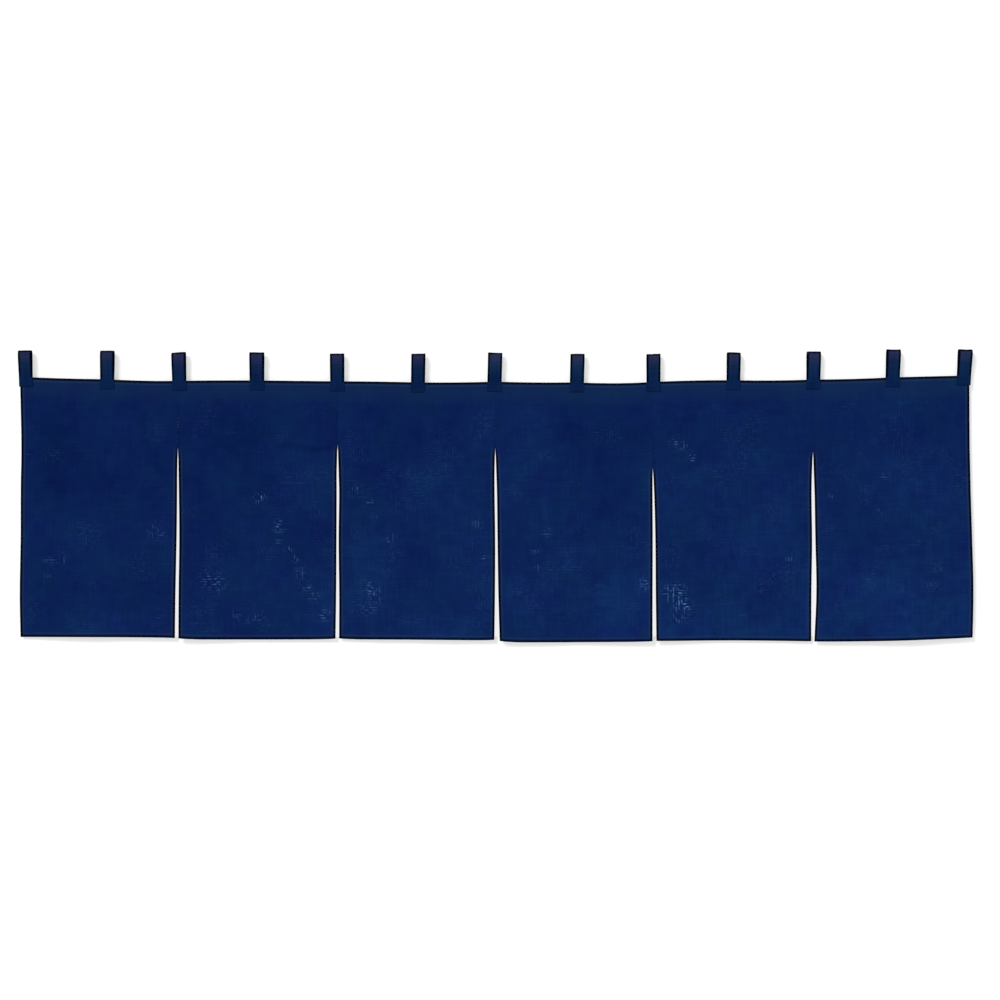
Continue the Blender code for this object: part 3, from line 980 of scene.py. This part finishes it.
# How far the hue may swing either way, as a share of the colour circle.
HUE_SWING = 0.006
print("deep indigo is", [round(v, 4) for v in linear(INDIGO_DEEP)])


# %% The woven surface
SLOT_THIN, SLOT_LONG = 5.0 * MM, 9.0 * MM
SLUB_SIZES = ((2.6 * MM, 60.0 * MM), (75.0 * MM, 2.4 * MM))
LEAN_SIZE, HUE_SIZE, MOTTLE_SIZE = 30.0 * MM, 75.0 * MM, 22.0 * MM
THREAD_HEIGHT = 0.35 * MM    # how far the threads seem to stand out


def streaks(tree, cloth, wide, tall, detail, roughness=0.5):
    """Soft noise over the cloth, in cells of a width and a height in metres."""
    cells = add(tree, "ShaderNodeMapping", inputs={
        "Vector": cloth, "Scale": (1.0 / wide, 1.0 / tall, 1.0)})
    return add(tree, "ShaderNodeTexNoise", inputs={
        "Vector": cells, "Scale": 1.0, "Detail": detail, "Roughness": roughness})


def woven(tree):
    """The plain weave: its thread height, slubs, mottling, hue and the gaps between threads."""
    cloth = add(tree, "ShaderNodeUVMap", {"uv_map": "cloth"})
    threads = []
    for direction in ("X", "Y"):
        wave = add(tree, "ShaderNodeTexWave", {"wave_type": "BANDS", "bands_direction": direction}, {
            "Vector": cloth, "Scale": WAVE_LENGTH / WEAVE_PITCH, "Distortion": 0.5,
            "Detail": 1.0, "Detail Scale": 0.6})
        threads.append(wave.outputs["Fac"])
    height = add(tree, "ShaderNodeMath", TIMES, {0: threads[0], 1: threads[1]})
    # In one place the upright threads have slid, in the next the crosswise ones.
    lean = streaks(tree, cloth, LEAN_SIZE, LEAN_SIZE, 1.0)
    # Between two threads lies a slot. Noise drawn out along the thread opens some of its length.
    slots = []
    for thread, wide, tall, lean_from, lean_to in (
        (threads[0], SLOT_THIN, SLOT_LONG, 0.46, 0.56),
        (threads[1], SLOT_LONG, SLOT_THIN, 0.54, 0.44),
    ):
        part, slot, leaning = (
            add(tree, "ShaderNodeMapRange", inputs={"Value": value, "From Min": low, "From Max": high})
            for value, low, high in (
                (streaks(tree, cloth, wide, tall, 0.0), 0.47, 0.62),
                (thread, 0.75, 0.15),
                (lean, lean_from, lean_to),
            )
        )
        open_part = add(tree, "ShaderNodeMath", TIMES, {0: part, 1: slot})
        slots.append(add(tree, "ShaderNodeMath", TIMES, {0: open_part, 1: leaning}))
    gap = add(tree, "ShaderNodeMath", {"operation": "MAXIMUM"}, {0: slots[0], 1: slots[1]})
    slubs = [streaks(tree, cloth, wide, tall, 1.5) for wide, tall in SLUB_SIZES]
    slub = add(tree, "ShaderNodeMath", {"operation": "ADD"}, {0: slubs[0], 1: slubs[1]})
    # The blue leans a little to green or to violet over stretches of a hand's width.
    turned = add(tree, "ShaderNodeMapRange", inputs={
        "Value": streaks(tree, cloth, HUE_SIZE, HUE_SIZE, 2.0, 0.6), "From Min": 0.3, "From Max": 0.7,
        "To Min": 0.5 - HUE_SWING, "To Max": 0.5 + HUE_SWING})
    mottle = streaks(tree, cloth, MOTTLE_SIZE, MOTTLE_SIZE, 3.0, 0.55)
    return {"height": height, "slub": slub, "mottle": mottle, "gap": gap, "hue": turned}


def dyed(tree, weave, depth, swings, colours, middle_at):
    """The dye's colour: a depth, which the weave's patterns swing, read on a ramp of three colours."""
    for name, weight, centre in swings:
        swing = add(tree, "ShaderNodeMath", {"operation": "SUBTRACT"}, {0: weave[name], 1: centre})
        depth = add(tree, "ShaderNodeMath", TIMES_PLUS, {0: swing, 1: weight, 2: depth})
    dye = add(tree, "ShaderNodeValToRGB", inputs={"Fac": depth})
    first, middle, last = (linear(colour) for colour in colours)
    stops = dye.color_ramp.elements
    stops[0].color, stops[1].color = first, last
    stops.new(middle_at).color = middle
    return dye


def finish_cloth(tree, shader, weave, colour, edge_dye_and_shade, slub_height, strength):
    """Leans the hue, paints the folded edges nearly black as dye and painted shade, and raises the
    threads.
    """
    leaning = add(tree, "ShaderNodeHueSaturation", inputs={"Hue": weave["hue"], "Color": colour})
    edged = add(tree, "ShaderNodeMix", COLOURS, {0: edge_dye_and_shade, 6: leaning, 7: linear(INDIGO_EDGE_SHADE)})
    relief = add(tree, "ShaderNodeMath", TIMES_PLUS,
                 {0: weave["slub"], 1: slub_height, 2: weave["height"]})
    bump = add(tree, "ShaderNodeBump", inputs={
        "Strength": strength, "Distance": THREAD_HEIGHT, "Height": relief})
    # Loose matt yarn scatters all light, with no bright reflection even at a slant.
    feed(tree, shader, {
        "Base Color": edged.outputs[2], "Normal": bump, "Specular IOR Level": 0.0})


def new_material(name):
    """A new node material, its tree and its one shader."""
    material = bpy.data.materials.new(name)
    material.use_nodes = True
    shader = next(n for n in material.node_tree.nodes if n.type == "BSDF_PRINCIPLED")
    return material, material.node_tree, shader


# %% The panels' cloth
# How far each pattern of the weave moves the depth of dye, and the value it swings about.
DYE_SWINGS = (("mottle", 0.55, 0.5), ("slub", 0.40, 1.0), ("height", 0.03, 0.25))
DYE_COLOURS = (INDIGO_DEEP, INDIGO_BODY, INDIGO_PALE)


def indigo_hemp():
    """Plain-weave hemp, dyed deep indigo in the piece: matt, slubby and a little uneven."""
    material, tree, shader = new_material("indigo_hemp_plain_weave")
    weave = woven(tree)
    marks = {
        name: add(tree, "ShaderNodeAttribute", {"attribute_name": name}).outputs["Fac"]
        for name in ("tone", "heading", "edge_dye_and_shade", "edge_highlight", "open_weave")
    }
    colour = dyed(tree, weave, marks["tone"], DYE_SWINGS, DYE_COLOURS, middle_at=0.5)
    # Painted light: light that comes through an open place is painted onto the blue threads round each
    # gap as a paler blue, while the cloth there is only a little clear.
    lit = add(tree, "ShaderNodeMath", TIMES, {0: marks["open_weave"], 1: weave["gap"]})
    for share, strength, layer in (
        (marks["heading"], 0.60, INDIGO_HEADING),
        (marks["open_weave"], 0.30, INDIGO_DEEP),
        (lit, 1.0, INDIGO_LIT),
        # A painted highlight line a little inside each folded edge.
        (marks["edge_highlight"], 0.42, INDIGO_EDGE_HIGHLIGHT),
    ):
        amount = add(tree, "ShaderNodeMath", TIMES, {0: share, 1: strength})
        colour = add(tree, "ShaderNodeMix", COLOURS,
                     {0: amount, 6: colour, 7: linear(layer)}).outputs[2]
    finish_cloth(tree, shader, weave, colour, marks["edge_dye_and_shade"], slub_height=0.7, strength=0.25)
    solid = add(tree, "ShaderNodeMapRange", inputs={"Value": lit, "To Min": 1.0, "To Max": 0.95})
    rough = add(tree, "ShaderNodeMapRange", inputs={
        "Value": weave["slub"], "From Min": 0.6, "From Max": 1.4, "To Min": 0.86, "To Max": 0.96})
    feed(tree, shader, {"Alpha": solid, "Roughness": rough})
    return material


hemp = indigo_hemp()
print(hemp.name, "has", len(hemp.node_tree.nodes), "nodes")


# %% [markdown]
# ## The doubled strip of the loops
#
# The loops are the same cloth, doubled. Hands and the rod rub the fold at the top, where the blue has
# worn to a greyer slate, and the legs near the heading are darkest. So the colour follows the height
# on the loop. Again the folded edges are painted nearly black, as dye and painted shade, the top of
# the crown is painted dark as shade where it turns away, and a painted highlight lightens the ridges
# beside the turned-in edges.

# %% The loops' cloth
SLATE_FOLD = "#262c4c"
SLATE_MIDDLE = "#13274a"
SLATE_FOOT = "#091f46"
WEAR_SWINGS = (("mottle", 0.30, 0.5), ("slub", 0.22, 1.0))
WEAR_COLOURS = (SLATE_FOOT, SLATE_MIDDLE, SLATE_FOLD)


def indigo_strip():
    """Doubled indigo hemp, worn to slate on the fold."""
    material, tree, shader = new_material("indigo_hemp_doubled_strip")
    weave = woven(tree)
    marks = {
        name: add(tree, "ShaderNodeAttribute", {"attribute_name": name}).outputs["Fac"]
        for name in ("tone", "fold", "edge_dye_and_shade")
    }
    wear = dyed(tree, weave, marks["fold"], WEAR_SWINGS, WEAR_COLOURS, middle_at=0.68)
    # The slubs, each loop's own evenness and the painted highlight on its ridges make it a little lighter
    # or darker.
    thick = add(tree, "ShaderNodeMath", TIMES_PLUS, {0: weave["slub"], 1: 0.5, 2: 0.1})
    bright = add(tree, "ShaderNodeMath", TIMES_PLUS, {0: marks["tone"], 1: 0.8, 2: thick})
    glow = add(tree, "ShaderNodeMapRange", inputs={
        "Value": bright, "From Min": 0.5, "From Max": 1.5, "To Min": 0.55, "To Max": 1.45})
    shaded = add(tree, "ShaderNodeVectorMath", {"operation": "SCALE"}, {0: wear, "Scale": glow})
    finish_cloth(tree, shader, weave, shaded, marks["edge_dye_and_shade"], slub_height=0.8, strength=0.4)
    feed(tree, shader, {"Roughness": 0.92})
    return material


strip = indigo_strip()
print(strip.name, "has", len(strip.node_tree.nodes), "nodes")


# %% Thread
THREAD_DEEP = "#0a1d48"
THREAD_PALE = "#122b58"


def cotton_thread():
    """Indigo cotton thread, two plies twisted: a shade paler than the cloth and slightly glossy."""
    material, tree, shader = new_material("indigo_cotton_thread")
    place = add(tree, "ShaderNodeTexCoord").outputs["Object"]
    ply = add(tree, "ShaderNodeTexNoise", inputs={
        "Vector": place, "Scale": 1.0 / (1.2 * MM), "Detail": 2.0})
    dye = add(tree, "ShaderNodeMix", COLOURS, {0: ply, 6: linear(THREAD_DEEP), 7: linear(THREAD_PALE)})
    bump = add(tree, "ShaderNodeBump", inputs={
        "Strength": 0.3, "Distance": 0.05 * MM, "Height": ply})
    feed(tree, shader, {
        "Base Color": dye.outputs[2], "Normal": bump, "Roughness": 0.7, "Specular IOR Level": 0.10})
    return material


thread = cotton_thread()
hem_stitches = sew("hem_stitching", hem_paths, thread, spacing=3.6, length=2.7, seed=3)
bar_stitches = sew("slit_bar_stitching", bar_paths, thread, spacing=1.5, length=1.9, seed=5)
tab_stitches = sew("loop_stitching", box_paths, thread, spacing=3.0, length=2.3, seed=7)
for piece in (hem_stitches, bar_stitches, tab_stitches):
    print(piece.name, "faces", len(piece.data.polygons))

# %% [markdown]
# ## Putting each piece on the body
#
# Every piece rides on the one body, and each cloth takes the place of its CAD solid, which is hidden.
# A panel's cloth was cut wider and longer than the hanging panel by what its hems take up, and a
# loop's strip is sewn on already doubled.

for name, (piece, front, back) in panels.items():
    piece.data.materials.append(hemp)
    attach(piece, "root")
    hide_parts(name)

for name, (piece, outer, inner, at, insets) in tabs.items():
    piece.data.materials.append(strip)
    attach(piece, "root")
    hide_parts(name)

for piece, slot in (
    (hem_stitches, "panel_cloth"), (bar_stitches, "panel_cloth"), (tab_stitches, "tab_cloth")
):
    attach(piece, "root")

# %% [markdown]
# ## Studio
#
# The curtain hangs a finger's width in front of a white wall, above a pale floor. The light is soft
# and comes from all round, with one large lamp high on the left that gives each fold a lit and a
# shaded side and lays a thin soft shadow to the right. A glowing sheet lies behind the cloth, a little
# smaller than it, as painted light: it lights nothing, and shows clean white through the slits, where
# the cloth would shade the wall. The wall and the sheet are seen from the front only, so that the back
# of the curtain can be looked at too.

# %% Wall and floor
WALL_GAP = 13.0 * MM
WALL_HALF = 3.0
WALL_TOP = 2.0
FLOOR_DROP = 1.3
FLOOR_HALF = 30.0


def plane(name, corners):
    """A flat piece of the studio, with one face."""
    piece = mesh_piece(name, corners, [], [tuple(range(len(corners)))])
    return piece


def glowing_paper(name, grey, strength):
    """Matt paper that glows softly, as an evenly lit paper roll does, and is clear from behind."""
    material, tree, shader = new_material(name)
    tree.nodes.remove(shader)
    output = next(n for n in tree.nodes if n.type == "OUTPUT_MATERIAL")
    matt = add(tree, "ShaderNodeBsdfDiffuse", inputs={"Color": (grey, grey, grey, 1.0)})
    glow = add(tree, "ShaderNodeEmission", inputs={
        "Color": (1.0, 1.0, 1.0, 1.0), "Strength": strength})
    lit = add(tree, "ShaderNodeAddShader", inputs={0: matt, 1: glow})
    clear = add(tree, "ShaderNodeBsdfTransparent")
    side = add(tree, "ShaderNodeNewGeometry").outputs["Backfacing"]
    both = add(tree, "ShaderNodeMixShader", inputs={0: side, 1: lit, 2: clear})
    feed(tree, output, {"Surface": both})
    return material


def upright(low_x, high_x, low_z, high_z, y):
    """The corners of an upright rectangle that faces the front."""
    return [(low_x, y, low_z), (high_x, y, low_z), (high_x, y, high_z), (low_x, y, high_z)]


SHEET_INSET = 16.0 * MM
WALL_GREY, WALL_GLOW = 0.62, 0.49
SHEET_GREY, SHEET_GLOW = 0.10, 0.85
highest_foot = max(float(lines[name][3][1].max()) for name in PANELS)
lowest_top = min(float(lines[name][2][1].min()) for name in PANELS)
wall = plane("wall", upright(-WALL_HALF, WALL_HALF, -FLOOR_DROP, WALL_TOP, WALL_GAP))
wall.data.materials.append(glowing_paper("white_paper_roll", WALL_GREY, WALL_GLOW))
# Painted light: the sheet glows behind the slits, lighting nothing, where the cloth would shade the wall.
painted_light_sheet = plane("painted_light_sheet", upright(
    cad_low[0] + SHEET_INSET, cad_high[0] - SHEET_INSET,
    highest_foot + 0.5 * MM, lowest_top - SHEET_INSET, WALL_GAP - 0.5 * MM))
painted_light_sheet.data.materials.append(glowing_paper("painted_light_behind_slits", SHEET_GREY, SHEET_GLOW))
for piece in (wall, painted_light_sheet):
    piece.visible_shadow = False
    piece.visible_diffuse = False
floor = plane("floor", [
    (-FLOOR_HALF, -FLOOR_HALF, -FLOOR_DROP), (FLOOR_HALF, -FLOOR_HALF, -FLOOR_DROP),
    (FLOOR_HALF, FLOOR_HALF, -FLOOR_DROP), (-FLOOR_HALF, FLOOR_HALF, -FLOOR_DROP),
])
floor_material, floor_tree, floor_shader = new_material("pale_floor")
feed(floor_tree, floor_shader, {"Base Color": (0.80, 0.80, 0.79, 1.0), "Roughness": 0.9})
floor.data.materials.append(floor_material)
print("wall", round(WALL_GAP, 4), "m behind the rod's line")

# %% Light
ROOM_LIGHT = 0.58
LAMP_STRENGTH = 1.75
LAMP_WIDTH = 16.0            # how wide the lamp looks, in degrees
LAMP_AIM = (0.38, 0.80, -0.50)
world = bpy.data.worlds.new("room")
bpy.context.scene.world = world
world.use_nodes = True
room = world.node_tree
background = next(n for n in room.nodes if n.type == "BACKGROUND")
seen = add(room, "ShaderNodeLightPath").outputs["Is Camera Ray"]
strength = add(room, "ShaderNodeMapRange", inputs={
    "Value": seen, "To Min": ROOM_LIGHT, "To Max": 1.0})
feed(room, background, {"Strength": strength, "Color": (1.0, 1.0, 1.0, 1.0)})

lamp_data = bpy.data.lights.new("window_light", "SUN")
lamp_data.energy = LAMP_STRENGTH
lamp_data.angle = math.radians(LAMP_WIDTH)
lamp = put_in_scene("window_light", lamp_data)
lamp.rotation_euler = Vector(LAMP_AIM).to_track_quat("-Z", "Y").to_euler()
bpy.context.scene.view_settings.view_transform = "Standard"
print("room light", ROOM_LIGHT, "lamp", LAMP_STRENGTH)

# %% [markdown]
# ## Camera
#
# The curtain is seen squarely from the front through a long lens, so that its whole width shows and
# nothing bends.

# %% The camera
VIEW_WIDTH = 1.887
LENS = 135.0
SENSOR = 36.0
VIEW_X, VIEW_Z = 7.9 * MM, -267.2 * MM
camera_data = bpy.data.cameras.new("camera")
camera_data.lens = LENS
camera_data.sensor_width = SENSOR
camera = put_in_scene("camera", camera_data)
camera.location = (VIEW_X, -VIEW_WIDTH * LENS / SENSOR, VIEW_Z)
camera.rotation_euler = (math.pi / 2.0, 0.0, 0.0)
bpy.context.scene.camera = camera
print("camera", [round(v, 3) for v in camera.location])

# %% Sizes
print("CAD box", [round(v, 4) for v in (*cad_low, *cad_high)])
